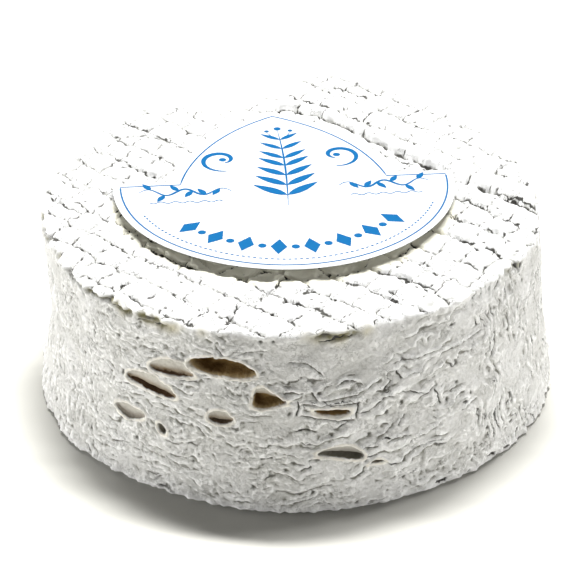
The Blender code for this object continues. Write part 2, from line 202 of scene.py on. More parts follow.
FOOT_BEADS = ((0.45, 2.2, 2.0, 55), (0.3, 1.0, 1.0, 56))

# Zones of the wall, in degrees or in millimetres of height: where each starts and where it is full
UPRIGHT_FRONT, UPRIGHT_BACK = (33, 50), (125, 105)
CALM_HEIGHT, CALM_LEFT, CALM_RIGHT = (27.0, 31.0), (-12, -2), (32, 22)
CRUMBLY_FRONT, CRUMBLY_SIDE, CRUMBLY_FOOT = (8, -12), (-75, -60), (9, 3)
SLOPE, SLOPE_MIDDLE, SLOPE_REACH = -0.22, 20.0, (42, 30)

# Ledges of the wall: pitch and length in millimetres, and seed; then how far each kind swells out
FLAT_LEDGES, LOW_LEDGES = (2.6, 5.6, 25), (1.15, 2.6, 26)
TALL_LEDGES, THIN_LEDGES = (2.3, 4.0, 27), (1.15, 3.0, 28)
FLAT_SWELL, LOW_SWELL, TALL_SWELL, THIN_SWELL = 0.60, 0.21, 0.34, 0.20
WRINKLE_WIDTH, WRINKLE_SWELL = 0.22, 0.13
CREASE_WIDTH, CREASE_DEPTH = 0.2, 0.30
WALL_PIT_PITCH, WALL_PIT_SHARE, WALL_PIT_DEPTH = 5.2, 0.72, 0.35
FACE_PIT_PITCH, FACE_PIT_SHARE, FACE_PIT_DEPTH = 3.6, 0.74, 0.4
SLAB_LINE_WIDTH = 0.34
SIDE_LIMIT = 4.0

# Linear colours of the wall, the upper face, the cracks and the eyes
# Wall hollows get a painted shade and wall ridges a painted highlight, both laid on by the cavity mask.
ASH, PALE_ASH, HOLLOW_SHADE = (0.64, 0.635, 0.61), (0.75, 0.745, 0.73), (0.19, 0.185, 0.155)
RIDGE_HIGHLIGHT, FOOT_BLOOM = (0.92, 0.915, 0.90), (0.84, 0.835, 0.82)
GRAIN, VEIN = (0.38, 0.37, 0.33), (0.15, 0.145, 0.125)
# The chalk's hollow colour is a painted shade in the upper face's hollows.
CHALK, CHALK_HOLLOW_SHADE, CRAZE = (0.87, 0.87, 0.86), (0.55, 0.55, 0.52), (0.16, 0.155, 0.145)
LABEL_SHADE = (0.87, 0.85, 0.73)
# The notch colours are painted shade under the rim's flakes, olive in patches; the stain is the rind's own
# colour.
STAIN, NOTCH_SHADE, OLIVE_SHADE = (0.66, 0.59, 0.34), (0.075, 0.072, 0.055), (0.25, 0.23, 0.10)
FADED_CRACK, FRESH_CRACK, PIT = (0.10, 0.097, 0.088), (0.045, 0.043, 0.038), (0.07, 0.067, 0.06)
LIP = (0.86, 0.825, 0.745)
# The brow colours are painted shade: darker than the wall, and darker still towards the slit, grey in grey
# eyes and brown in brown ones.
BROW, GREY_BROW_SHADE, BROWN_BROW_SHADE = (0.54, 0.52, 0.465), (0.24, 0.225, 0.205), (0.25, 0.175, 0.095)
BROW_GRAIN = (0.38, 0.35, 0.30)
# Inside the eyes the curd's tan is deepened to brown as painted bounce light and shade; the slit colours are
# painted shade, and the eye's floor colour is a painted highlight on its lower inner edge.
DARK_TAN_SHADE, TAN, EYE_FLOOR_HIGHLIGHT = (0.125, 0.066, 0.016), (0.33, 0.215, 0.080), (0.56, 0.42, 0.22)
BROWN_SLIT_SHADE, GREY_SLIT_SHADE = (0.045, 0.020, 0.005), (0.15, 0.14, 0.11)
PAPER, PALE_PAPER = (0.88, 0.885, 0.89), (0.91, 0.915, 0.92)
INK, PALE_INK = (0.001, 0.125, 0.345), (0.003, 0.160, 0.41)
FLOOR = (0.44, 0.435, 0.405)

# Widths of the drawn lines in millimetres, thin to thick
LINE_WIDTHS = {"long": (0.07, 0.34), "short": (0.05, 0.28), "stroke": (0.35, 1.05)}

# The paper label, as in the part
LABEL_ORIGIN = (-1.9, 4.2)
LABEL_TURN = math.radians(5.2)
LABEL_RADIUS = 33.5
LABEL_DISC_DROP = 0.9
SHOULDER_RISE = 1.3
ARCH_HALF_WIDTH = 21.8
ARCH_HEIGHT = 29.0
ARCH_SIDE_RADIUS = 41.0
LABEL_LIFT = 0.5
LABEL_FRONT_LIFT = 0.25
LABEL_SAG = 0.15
PAPER_THICKNESS = 0.11
PRINT_RISE = 0.03
BEND_STEP = 3.0

# The label's print: insets from the edge, and the sizes of its motifs
FINE_LINE = 0.34
BORDER_INSET = 1.5
BAND_INSET = 8.2
DASH_INSET = 3.6
DASH_HALF_ANGLE = math.radians(0.55)
STEM_FOOT, STEM_HEIGHT, STEM_BOW = -10.5, 31.0, 0.8
LEAF_LENGTH, LEAF_WIDTH = 7.6, 1.9
SCROLL_CENTRE, SCROLL_REACH, SCROLL_CORE = (11.6, 9.0), 4.6, 1.2
LOZENGE_HALF_LENGTH, LOZENGE_HALF_WIDTH = 2.8, 1.6

# Camera, fitted to the photo
CAMERA_ELEVATION = math.radians(31.383)
CAMERA_DISTANCE = 497.8
CAMERA_LENS = 153.2
AIM_DOWN = math.radians(0.384)
AIM_RIGHT = math.radians(0.018)

# Softboxes: place and size in metres, and power in watts
LAMPS = {
    "overhead": ((0.04, 0.18, 0.75), (0.55, 0.06), 9.3),
    "front": ((0.0, -0.80, 0.07), (0.8, 0.12), 1.8),
    "left": ((-0.66, 0.06, 0.07), (0.4, 0.12), 3.8),
    "right": ((0.66, 0.06, 0.07), (0.4, 0.12), 2.7),
    "floor_lamp": ((0.01, 0.18, 0.75), (0.22, 0.06), 9.8),
}
LAMP_AIM = Vector((0.0, 0.0, 0.02))
WORLD_STRENGTH = 0.05
FLOOR_SIZE = 6.0

# Noise: one table of directions and one shuffled order, read by every layer
TABLE = 256
_draw = np.random.default_rng(7)
SHUFFLED = _draw.permutation(TABLE)
DIRECTIONS = _draw.uniform(0.0, 2 * math.pi, TABLE)
GRADIENT_U, GRADIENT_V = np.cos(DIRECTIONS), np.sin(DIRECTIONS)
SPOT_U, SPOT_V, SPOT_LOT = _draw.uniform(0.0, 1.0, (3, TABLE))


def lot(cell_u, cell_v, seed):
    """A fixed entry of the tables for each lattice cell."""
    return SHUFFLED[(SHUFFLED[(cell_u + 37 * seed) % TABLE] + cell_v) % TABLE]


def perlin(u, v, seed, wrap=None):
    """Gradient noise of about -1 to 1 over a lattice of unit cells; u repeats after wrap cells."""
    cell_u, cell_v = np.floor(u).astype(int), np.floor(v).astype(int)
    in_u, in_v = u - cell_u, v - cell_v
    ease_u = in_u**3 * (in_u * (in_u * 6 - 15) + 10)
    ease_v = in_v**3 * (in_v * (in_v * 6 - 15) + 10)
    corners = []
    for step_u in (0, 1):
        corner_u = cell_u + step_u
        if wrap:
            corner_u = corner_u % wrap
        for step_v in (0, 1):
            entry = lot(corner_u, cell_v + step_v, seed)
            corners.append(GRADIENT_U[entry] * (in_u - step_u) + GRADIENT_V[entry] * (in_v - step_v))
    low = corners[0] + (corners[1] - corners[0]) * ease_v
    high = corners[2] + (corners[3] - corners[2]) * ease_v
    return 1.5 * (low + (high - low) * ease_u)


def spots(u, v, seed, wrap=None):
    """Distance in cells to the nearest of one random spot a cell, and that spot's own random number."""
    cell_u, cell_v = np.floor(u).astype(int), np.floor(v).astype(int)
    nearest = np.full(u.shape, 9.0)
    number = np.zeros(u.shape)
    for step_u in (-1, 0, 1):
        for step_v in (-1, 0, 1):
            near_u, near_v = cell_u + step_u, cell_v + step_v
            entry = lot(near_u % wrap if wrap else near_u, near_v, seed)
            away = np.hypot(near_u + SPOT_U[entry] - u, near_v + SPOT_V[entry] - v)
            closer = away < nearest
            nearest[closer] = away[closer]
            number[closer] = SPOT_LOT[entry][closer]
    return nearest, number


def smooth(low, high, value):
    t = np.clip((value - low) / (high - low), 0.0, 1.0)
    return t * t * (3.0 - 2.0 * t)


def bell(value, width):
    return np.exp(-((value / width) ** 2))


def ridge(value, width):
    """1 along the zero lines of a noise, falling to 0 at this distance from them in its own units."""
    return np.clip(1.0 - np.abs(value) / width, 0.0, 1.0)


def around(values, azimuth):
    """A smooth closed curve through evenly spaced values, read at azimuths in degrees."""
    place = (azimuth % 360.0) / 360.0 * len(values)
    first = np.floor(place).astype(int)
    t = place - first
    a, b, c, d = (values[(first + k) % len(values)] for k in (-1, 0, 1, 2))
    return (
        (2 * t**3 - 3 * t**2 + 1) * b
        + (t**3 - 2 * t**2 + t) * (c - a) / 2
        + (3 * t**2 - 2 * t**3) * c
        + (t**3 - t**2) * (d - b) / 2
    )


def offset_from(line, x, y):
    """Signed distance from a line of points, positive to the left of its way."""
    best = np.full(x.shape, np.inf)
    for (x0, y0), (x1, y1) in zip(line, line[1:]):
        dx, dy = x1 - x0, y1 - y0
        t = np.clip(((x - x0) * dx + (y - y0) * dy) / (dx * dx + dy * dy), 0.0, 1.0)
        gap_x, gap_y = x - x0 - t * dx, y - y0 - t * dy
        length = np.hypot(gap_x, gap_y)
        closer = length < np.abs(best)
        best = np.where(closer, np.copysign(length, gap_y * dx - gap_x * dy), best)
    return best


def beside_stroke(u, v, start, end, bow, jag):
    """Signed distance to the left of a bowed stroke, and how much of the stroke is there."""
    du, dv = end[0] - start[0], end[1] - start[1]
    length = math.hypot(du, dv)
    share = ((u - start[0]) * du + (v - start[1]) * dv) / length**2
    across = ((v - start[1]) * du - (u - start[0]) * dv) / length
    there = smooth(0.0, 0.14, share) * smooth(1.0, 0.86, share)
    return across - 4.0 * bow * share * (1.0 - share) + jag, there


class Layer:
    """Noise over one stretch of the rind, with sizes in millimetres."""

    def __init__(self, u, v, round_trip=None):
        self.u, self.v, self.round_trip = u, v, round_trip

    def place(self, size_u, size_v, shift_u, shift_v):
        cells = round(self.round_trip / size_u) if self.round_trip else None
        pitch_u = self.round_trip / cells if cells else size_u
        return (self.u + shift_u) / pitch_u, (self.v + shift_v) / size_v, cells

    def noise(self, size_u, size_v, seed, shift_u=0.0, shift_v=0.0):
        u, v, cells = self.place(size_u, size_v, shift_u, shift_v)
        return perlin(u, v, seed, cells)

    def sum(self, layers, shift_u=0.0, shift_v=0.0):
        """Several noises added up, each given as strength, two sizes and seed."""
        total = 0.0
        for strength, size_u, size_v, seed in layers:
            total = total + strength * self.noise(size_u, size_v, seed, shift_u, shift_v)
        return total

    def spots(self, size, seed, shift_u=0.0, shift_v=0.0):
        u, v, cells = self.place(size, size, shift_u, shift_v)
        nearest, number = spots(u, v, seed, cells)
        return nearest * size, number

    def flat_ledges(self, pitch, length, seed, shift_u, shift_v):
        """Ledges that lie along u: each swells out at its lower edge and tucks in above the next."""
        place = (self.v + shift_v) / pitch
        return ledge_form(place, np.floor(place), self.u + shift_u, length, pitch, seed)

    def upright_ledges(self, pitch, length, seed, shift_u, shift_v):
        cells = round(self.round_trip / pitch)
        place = (self.u + shift_u) / self.round_trip * cells
        return ledge_form(place, np.floor(place) % cells, self.v + shift_v, length, pitch, seed)


def ledge_form(place, ledge, along, length, pitch, seed):
    """Outward form from 0 to 1, the side of the creases between ledges, and how much ledge is there."""
    along = along / length + TABLE * SPOT_LOT[ledge.astype(int) % TABLE]
    there = smooth(-0.35, 0.30, perlin(along, ledge * 0.31 + 0.4, seed))
    share = place - np.floor(place)
    form = (1.0 - share) ** 0.9 * smooth(0.0, 0.20, share)
    return form * there, side_of(place, pitch), there


def side_of(place, pitch):
    """A smooth wave that is zero at whole places, where it has the slope of a distance in millimetres."""
    return np.sin(math.pi * place) * pitch / math.pi


def wall_radius(height, azimuth):
    share = np.clip((height - FOOT_ROUND) / (HEIGHT - RIM_ROUND - FOOT_ROUND), 0.0, 1.0)
    foot, rim = around(FOOT_RADII, azimuth), around(RIM_RADII, azimuth)
    return foot + (rim - foot) * share + around(WALL_BOWS, azimuth) * np.sin(math.pi * share)


def face_form(x, y):
    """The upper face's large forms: a dish, the worn back edge and the raised slab."""
    dish = np.hypot(x - DISH["x"], y - DISH["y"]) / DISH["spread"]
    worn_x = (x - WORN["x"]) / WORN["spread_x"]
    worn_y = (y - WORN["y"]) / WORN["spread_y"]
    beyond = np.minimum(offset_from(SLAB_FOOT, x, y), offset_from(SLAB_END, x, y))
    beyond = beyond + Layer(x, y).sum(SLAB_JAG)
    slab = smooth(0.0, SLAB_EDGE, beyond) * np.clip(1.0 - beyond / SLAB_FADE, 0.0, 1.0)
    low = -DISH["depth"] * np.exp(-0.5 * dish**2)
    worn = -WORN["depth"] * np.exp(-0.5 * (worn_x**2 + worn_y**2))
    return low + worn + SLAB_RISE * slab, beyond


class Strokes:
    """Named strokes gathered over one stretch of the rind: their side, their presence and their relief."""

    def __init__(self, u, v, jag):
        self.u, self.v, self.jag = u, v, jag
        self.side, self.gap = np.ones(u.shape), np.full(u.shape, 9.0)
        self.there, self.cut, self.raised = (np.zeros(u.shape) for _ in range(3))

    def add(self, start, end, bow, width, ink=1.0, rise=1.0):
        middle_u, middle_v = (start[0] + end[0]) / 2, (start[1] + end[1]) / 2
        reach = 0.6 * math.hypot(end[0] - start[0], end[1] - start[1]) + 2.5
        near = np.hypot(self.u - middle_u, self.v - middle_v) < reach
        across, along = beside_stroke(self.u[near], self.v[near], start, end, bow, self.jag[near])
        gap = np.abs(across) + 3.0 * (1.0 - along)
        closer = gap < self.gap[near]
        there = ink * along * smooth(1.3, 0.7, np.abs(across))
        for field, value in ((self.gap, gap), (self.side, across / width), (self.there, there)):
            field[near] = np.where(closer, value, field[near])
        self.cut[near] = np.maximum(self.cut[near], bell(across, width) * along)
        self.raised[near] += rise * bell(across - 2.2 * width, 1.7 * width) * along


def line_masks(long, short, strokes, pit):
    """Masks from the side and presence of the long and the short lines, the strokes and the pits."""
    return {
        "long_side": long[0],
        "long_here": long[1],
        "short_side": short[0],
        "short_here": short[1],
        "stroke_side": np.clip(strokes.side, -SIDE_LIMIT, SIDE_LIMIT),
        "stroke_here": strokes.there,
        "pit": pit,
    }


def face_relief(x, y):
    """Relief of the upper face and its lines: mat furrows, cross cracks, plaques, pits and crumbs."""
    plain = Layer(x, y)
    form, beyond = face_form(x, y)
    fine_jag = plain.sum(FACE_JAG)
    wander = plain.sum(FACE_WANDER) + fine_jag
    along = x * math.cos(MAT_ANGLE) + y * math.sin(MAT_ANGLE)
    across = y * math.cos(MAT_ANGLE) - x * math.sin(MAT_ANGLE)
    row = (across - MAT_OFFSET + wander) / MAT_PITCH
    column = (along - wander) / CRACK_PITCH + SPOT_LOT[np.floor(row).astype(int) % TABLE]
    from_furrow = np.abs(row - np.round(row)) * MAT_PITCH
    from_crack = np.abs(column - np.round(column)) * CRACK_PITCH
    furrow_here = smooth(-0.80, -0.15, plain.sum(FURROW_PATCHES))
    crack_here = smooth(-0.50, 0.10, plain.sum(CRACK_PATCHES))
    dash = smooth(-0.80, -0.25, plain.sum(DASH_PATCHES))
    ragged = 0.5 + 0.5 * plain.noise(1.6, 1.6, 10)
    width = 0.14 + 0.22 * ragged

    strokes = Strokes(x, y, 1.3 * fine_jag)
    for x0, y0, x1, y1, bow, wide in FACE_CRACKS.values():
        strokes.add((x0, y0), (x1, y1), bow, wide)
    slab_here = smooth(-0.55, 0.0, plain.noise(3.5, 3.5, 13)) * smooth(1.6, 0.9, np.abs(beyond))
    by_slab = slab_here > strokes.there
    strokes.side = np.where(by_slab, (beyond - 0.1) / SLAB_LINE_WIDTH, strokes.side)
    strokes.there = np.maximum(strokes.there, slab_here)
    strokes.cut = np.maximum(strokes.cut, bell(beyond - 0.1, SLAB_LINE_WIDTH) * slab_here)

    to_pit, pit_number = plain.spots(FACE_PIT_PITCH, 14)
    to_pit = to_pit + 0.25 * plain.noise(0.9, 0.9, 59)
    pit = np.clip(1.0 - to_pit / (0.1 + 0.4 * pit_number), 0.0, 1.0) * (pit_number > FACE_PIT_SHARE)
    furrow_line = bell(from_furrow, width) * furrow_here * dash
    line = furrow_line + bell(from_crack, 0.85 * width) * crack_here * dash
    valley = 0.30 * bell(from_furrow, 1.0) * furrow_here + 0.16 * bell(from_crack, 0.7) * crack_here
    plaque = bell(np.minimum(from_furrow, from_crack) - 0.8, 0.4)
    lifted = 0.14 * plaque * dash + 0.26 * strokes.raised
    relief = form + plain.sum(FACE_WAVES) + plain.sum(FACE_CRUMBS) + lifted - valley - 0.5 * line
    relief -= FACE_PIT_DEPTH * pit + FACE_CRACK_DEPTH * strokes.cut
    furrows = side_of(row, MAT_PITCH), furrow_here * dash
    cracks = side_of(column, CRACK_PITCH), crack_here * dash
    return relief, line_masks(furrows, cracks, strokes, pit)


def either(first, second, share):
    """Sides and presence of lines from two fields, with none where one field passes into the other."""
    (first_side, first_here), (second_side, second_here) = first, second
    side = np.where(share < 0.5, first_side, second_side)
    here = first_here * smooth(0.45, 0.25, share) + second_here * smooth(0.55, 0.75, share)
    return side, here


def wall_relief(azimuth, height):
    """Relief of the wall and its lines: lumps, worm-like folds, creases, pits and crumbs."""
    per_degree = CIRCUMFERENCE / 360.0
    plain = Layer(azimuth * per_degree, height, CIRCUMFERENCE)
    drift = 9.0 * plain.noise(14, 14, 20)
    side = np.abs(azimuth) + drift
    upright = smooth(*UPRIGHT_FRONT, side) * smooth(*UPRIGHT_BACK, side)
    flat_share = 1 - upright
    calm = smooth(*CALM_LEFT, azimuth) * smooth(*CALM_RIGHT, azimuth)
    calm = smooth(*CALM_HEIGHT, height + 0.3 * drift) * calm
    crumbly = smooth(*CRUMBLY_FRONT, azimuth + drift) * smooth(*CRUMBLY_SIDE, azimuth)
    crumbly = np.clip(crumbly + smooth(*CRUMBLY_FOOT, height), 0.0, 1.0)
    active = smooth(-0.6, 0.1, plain.noise(9, 6, 29)) * (1.0 - 0.8 * calm)
    strength = smooth(-0.25, 0.4, plain.noise(4.0, 3.0, 31))
    big_weight = active * (1.0 - 0.40 * crumbly)
    small_weight = 0.35 + 0.65 * active

    bend_u, bend_v = plain.sum(BEND_ALONG), plain.sum(BEND_UP)
    slope = SLOPE * plain.u * smooth(*SLOPE_REACH, np.abs(azimuth - SLOPE_MIDDLE))
    low_v, thin_u = bend_u * 0.6 + bend_v * 0.4 + slope, bend_u * 0.7 - bend_v * 0.4
    flat, *flat_line = plain.flat_ledges(*FLAT_LEDGES, bend_u, bend_v + slope)
    low, *low_line = plain.flat_ledges(*LOW_LEDGES, bend_v, low_v)
    tall, *tall_line = plain.upright_ledges(*TALL_LEDGES, 1.25 * bend_u, bend_v)
    thin, *thin_line = plain.upright_ledges(*THIN_LEDGES, thin_u, bend_v)
    folds = (FLAT_SWELL * flat * flat_share + TALL_SWELL * tall * upright) * big_weight
    folds += (LOW_SWELL * low * flat_share + THIN_SWELL * thin * upright) * small_weight
    long_side, long_here = either(flat_line, tall_line, upright)
    short_side, short_here = either(low_line, thin_line, upright)
    creases = bell(long_side, CREASE_WIDTH) * long_here * big_weight * strength

    wrinkle = ridge(plain.noise(2.6, 1.5, 49, bend_u, bend_v), WRINKLE_WIDTH) * flat_share
    wrinkle += ridge(plain.noise(1.5, 2.8, 50, bend_u, bend_v), WRINKLE_WIDTH) * upright
    crumbs = plain.sum(WALL_CRUMBS, bend_u, bend_v) + 0.09 * plain.noise(0.62, 0.48, 34)
    crumbs = crumbs * smooth(-0.6, 0.3, plain.noise(4.0, 3.0, 58))
    rough = (0.5 + 0.9 * crumbly) * (1.0 - 0.5 * calm)
    to_pit, pit_number = plain.spots(WALL_PIT_PITCH, 35, bend_u * 0.3, bend_v * 0.3)
    pit = np.clip(1.0 - to_pit / (0.2 + 0.55 * pit_number), 0.0, 1.0) * (pit_number > WALL_PIT_SHARE)
    strokes = Strokes(plain.u, height, plain.sum(FOLD_JAG))
    for azimuth0, height0, azimuth1, height1, bow, wide, lip, ink in WALL_FOLDS.values():
        start, end = (azimuth0 * per_degree, height0), (azimuth1 * per_degree, height1)
        strokes.add(start, end, bow, 0.55 * wide, ink, lip)

    relief = plain.sum(WALL_LUMPS) + folds + WRINKLE_SWELL * wrinkle * (0.4 + active) + crumbs * rough
    relief += strokes.raised - CREASE_DEPTH * creases - WALL_PIT_DEPTH * pit - FOLD_DEPTH * strokes.cut
    long = long_side, long_here * big_weight * strength
    short = short_side, 0.5 * short_here * active * strength
    return relief, line_masks(long, short, strokes, 0.7 * pit)


def profile():
    """Rows from the top's middle to the underside's: inset, height, outward and upward share."""
    rim = RIM_RADII.min()
    radii = HIDDEN_RADII + list(np.arange(FIRST_RADIUS, rim - RIM_ROUND, FACE_STEP))
    rows = [(1.0 - radius / rim, HEIGHT, 0.0, 1.0) for radius in radii]
    for angle in np.linspace(0.0, math.pi / 2, ARC_STEPS + 1):
        inset = RIM_ROUND / rim * (1 - math.sin(angle))
        rows.append((inset, HEIGHT - RIM_ROUND * (1 - math.cos(angle)), math.sin(angle), math.cos(angle)))
    for height in np.arange(HEIGHT - RIM_ROUND - WALL_STEP, FOOT_ROUND, -WALL_STEP):
        rows.append((0.0, height, 1.0, 0.0))
    for angle in np.linspace(0.0, math.pi / 2, ARC_STEPS):
        inset = FOOT_ROUND / rim * (1 - math.cos(angle))
        rows.append((inset, FOOT_ROUND * (1 - math.sin(angle)), math.cos(angle), 0.0))
    return np.array(rows)


def column_azimuths():
    """Azimuths of the grid's columns in degrees, closer together at the front."""
    even = np.linspace(-math.pi, math.pi, COLUMNS, endpoint=False)
    return np.degrees(even - FRONT_DENSITY * np.sin(even))


def open_eyes(azimuth, height, waver):
    """Sink of the wall at its eyes and lips, hollows, brownness, distance out of an eye and over its slit."""
    sink, hollows, brown = (np.zeros(azimuth.shape) for _ in range(3))
    out_of, over_slit = np.full(azimuth.shape, 2.0), np.full(azimuth.shape, 2.0)
    for eye in EYES.values():
        eye_azimuth, eye_height, width, opening, depth, arch, tilt, wedge, power, brow, warm = eye
        along = ((azimuth - eye_azimuth + 180.0) % 360.0 - 180.0) / 360.0 * CIRCUMFERENCE
        near = (np.abs(along) < width) & (np.abs(height - eye_height) < width)
        along, up = along[near], height[near] - eye_height
        turn = math.radians(tilt)
        a = (along * math.cos(turn) + up * math.sin(turn)) / (width / 2)
        b = up * math.cos(turn) - along * math.sin(turn) - arch * (0.5 - a**2)
        half = opening / 2 * np.clip(1.0 - wedge * a, 0.3, 1.7)
        b = b / half + 0.14 * waver[near]
        a = a + 0.05 * waver[near]
        edge = np.maximum((np.abs(a) ** power + np.abs(b) ** power) ** (1 / power), 0.05)
        steep = np.hypot(np.abs(a) ** (power - 1) / (width / 2), np.abs(b) ** (power - 1) / half)
        outside = (edge - 1.0) / np.maximum(edge ** (1 - power) * steep, 0.05)
        local = np.clip(1.0 - np.clip(np.abs(a), 0.0, 1.0) ** power, 0.02, 1.0) ** (1 / power)
        q = np.clip(b / local, -1.0, 1.0)
        inner = smooth(0.0, -0.45, outside)
        ramp = smooth(1.0, brow, q) * smooth(-1.0, -0.75, q)
        slit = smooth(brow + 0.20, brow - 0.20, q) * smooth(-1.0, -0.62, q)
        lip = bell(outside - LIP_OFFSET, LIP_REACH)
        sink[near] += LIP_HEIGHT * lip - depth * inner * (BROW_SHARE * ramp + (1 - BROW_SHARE) * slit)
        hollows[near] = np.maximum(hollows[near], inner)
        closer = outside < out_of[near]
        over_slit[near] = np.where(closer, (q - brow) * half, over_slit[near])
        brown[near] = np.where(closer, warm, brown[near])
        out_of[near] = np.minimum(out_of[near], outside)
    return sink, hollows, brown, out_of, np.clip(over_slit, -2.0, 2.0)


def blurred(grid, reach):
    """Mean of a grid over a square window, closed round the columns and open at its first and last rows."""
    rows, columns = grid.shape
    padded = np.concatenate([grid[:, -reach:], grid, grid[:, :reach]], axis=1)
    sums = np.cumsum(padded, axis=1)
    across = (sums[:, 2 * reach:] - sums[:, : -2 * reach])[:, :columns] / (2 * reach)
    sums = np.cumsum(np.pad(across, ((reach, reach), (0, 0)), mode="edge"), axis=0)
    return (sums[2 * reach:] - sums[: -2 * reach])[:rows] / (2 * reach)


def label_shade(x, y):
    """1 on the rind that lies in the shade of the label's round edge."""
    x, y = x - LABEL_ORIGIN[0], y - LABEL_ORIGIN[1] + LABEL_DISC_DROP
    return smooth(35.6, 34.4, np.hypot(x, y + 0.4)) * smooth(-2.0, -8.0, y)


def rind_grid():
    """Position in millimetres and masks of every point of the rind, as arrays of rows by columns."""
    inset, height, out_share, up_share = profile().T[:, :, None]
    azimuth = column_azimuths()[None, :] + np.zeros_like(height)
    height = height + np.zeros_like(azimuth)
    angle = np.radians(azimuth)
    radius = wall_radius(height, azimuth) * (1.0 - inset)
    x, y = radius * np.sin(angle), -radius * np.cos(angle)

    edge = Layer(azimuth / 360.0 * CIRCUMFERENCE, height * 0.4, CIRCUMFERENCE)
    scallop = 0.55 - 1.6 * np.abs(edge.noise(5.0, 3, 41)) + edge.sum(RIM_CHIPS)
    from_rim = np.hypot(inset * RIM_RADII.mean(), HEIGHT - height)
    at_rim = bell(from_rim, 1.2)
    under = HEIGHT - height - 1.2 + edge.sum(RIM_UNDERSIDE)
    flaky = np.maximum(smooth(22.0, 14.0, np.abs(azimuth + 46.0)), smooth(6.0, 3.0, np.abs(azimuth - 9.0)))
    flaky_back = smooth(0.15, 0.4, edge.noise(14.0, 30, 44)) * (np.abs(azimuth) > 55.0)
    flaky = np.maximum(flaky, 0.7 * flaky_back)
    outer = out_share > 0.5
    # The notch is a real cut under the rim's flakes; its mask also lays painted shade there.
    notch = bell(under, 0.55) * smooth(-0.7, -0.2, edge.noise(3.2, 9, 54)) * flaky * outer
    stained = smooth(10.0, 4.0, np.abs(azimuth - 9.0)) + 0.7 * smooth(14.0, 8.0, np.abs(azimuth + 30.0))
    stain = bell(under - 0.2, 1.1) * stained * smooth(-0.6, 0.1, edge.noise(4.0, 9, 63)) * outer
    beads = edge.sum(FOOT_BEADS) * smooth(2.6, 0.4, height) * (out_share > 0.2)

    on_face = smooth(0.25, 0.9, up_share) * np.ones_like(azimuth)
    on_wall = smooth(0.15, 0.85, out_share) * smooth(0.0, 0.6, height)
    face, face_lines = face_relief(x, y)
    wall, wall_lines = wall_relief(azimuth, height)
    sink, hollows, brown, out_of_eye, over_slit = open_eyes(azimuth, height, edge.noise(2.2, 0.8, 45))
    form, _ = face_form(x, y)

    lift = (form + (face - form) * on_face) * smooth(RELIEF_FADE * HEIGHT, HEIGHT, height)
    calm = 1.0 - 0.9 * hollows
    push = wall * on_wall * calm + sink + (0.75 + 0.30 * flaky) * scallop * at_rim + beads - 1.05 * notch
    radius = radius + push
    height_now = np.maximum(height + lift, 0.0)
    points = np.stack([radius * np.sin(angle), -radius * np.cos(angle), height_now], axis=-1)

    relief = (face - form) * on_face + (wall * calm + 0.25 * sink) * on_wall
    masks = {
        # Low in the hollows and high on the ridges; the rind's colour reads it for painted shade and painted
        # highlight.
        "cavity": 0.5 + 0.5 * np.clip((relief - blurred(relief, 5)) / 0.20, -1.0, 1.0),
        "face": np.clip(on_face + 0.7 * at_rim, 0.0, 1.0),
        "eye_out": out_of_eye,
        "slit_over": over_slit,
        "eye_brown": brown,
        "notch": notch,
        "stain": stain,
        "by_label": label_shade(x, y) * on_face,
        "foot": smooth(2.2, 0.5, height),
    }
    upper = on_face > 0.5
    for name, face_line in face_lines.items():
        wall_line = wall_lines[name]
        if name.endswith("here"):
            face_line = face_line * smooth(0.5, 1.0, on_face)
            wall_line = wall_line * smooth(0.5, 0.0, on_face) * calm
        masks[name] = np.where(upper, face_line, wall_line)
    return points, masks


def closed_mesh(name, points, masks):
    """A closed surface from a grid whose first and last rows are capped with a point on the axis."""
    rows, columns, _ = points.shape
    top = points[0].mean(axis=0) * [0, 0, 1]
    coordinates = np.concatenate([points.reshape(-1, 3), [top, [0.0, 0.0, 0.0]]]) * MM
    index = np.arange(rows * columns).reshape(rows, columns)
    after = np.roll(index, -1, axis=1)
    upper, lower = index[:-1].ravel(), index[1:].ravel()
    upper_after, lower_after = after[:-1].ravel(), after[1:].ravel()
    sheets = [np.stack([upper, lower, lower_after], 1), np.stack([upper, lower_after, upper_after], 1)]
    caps = [
        np.stack([np.full(columns, rows * columns), index[0], after[0]], 1),
        np.stack([np.full(columns, rows * columns + 1), after[-1], index[-1]], 1),
    ]
    triangles = np.concatenate(sheets + caps)
    mesh = bpy.data.meshes.new(name)
    mesh.vertices.add(len(coordinates))
    mesh.vertices.foreach_set("co", coordinates.ravel())
    mesh.loops.add(triangles.size)
    mesh.loops.foreach_set("vertex_index", triangles.ravel())
    mesh.polygons.add(len(triangles))
    mesh.polygons.foreach_set("loop_start", np.arange(0, triangles.size, 3))
    mesh.update(calc_edges=True)
    mesh.validate()
    for mask, grid in masks.items():
        layer = mesh.attributes.new(mask, "FLOAT", "POINT")
        layer.data.foreach_set("value", np.append(grid.ravel(), [0.0, 0.0]))
    return mesh


def linked(name, data):
    """A new object in the scene."""
    made = bpy.data.objects.new(name, data)
    bpy.context.scene.collection.objects.link(made)
    return made


def rind():
    points, masks = rind_grid()
    low, high = (np.array(corner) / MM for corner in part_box("cheese"))
    least, most = points.reshape(-1, 3).min(axis=0), points.reshape(-1, 3).max(axis=0)
    points = low + (points - least) / (most - least) * (high - low)
    fine = linked("fine_rind", closed_mesh("fine_rind", points, masks))
    thin = fine.modifiers.new("thin_out", "DECIMATE")
    thin.ratio = KEPT_TRIANGLES / len(fine.data.polygons)
    scene_graph = bpy.context.evaluated_depsgraph_get()
    mesh = bpy.data.meshes.new_from_object(fine.evaluated_get(scene_graph))
    bpy.data.objects.remove(fine)
    mesh.name = "rind"
    mesh.shade_smooth()
    body = linked("rind", mesh)
    mesh.materials.append(rind_material())
    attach(body, "root")
    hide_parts("cheese")
    return body


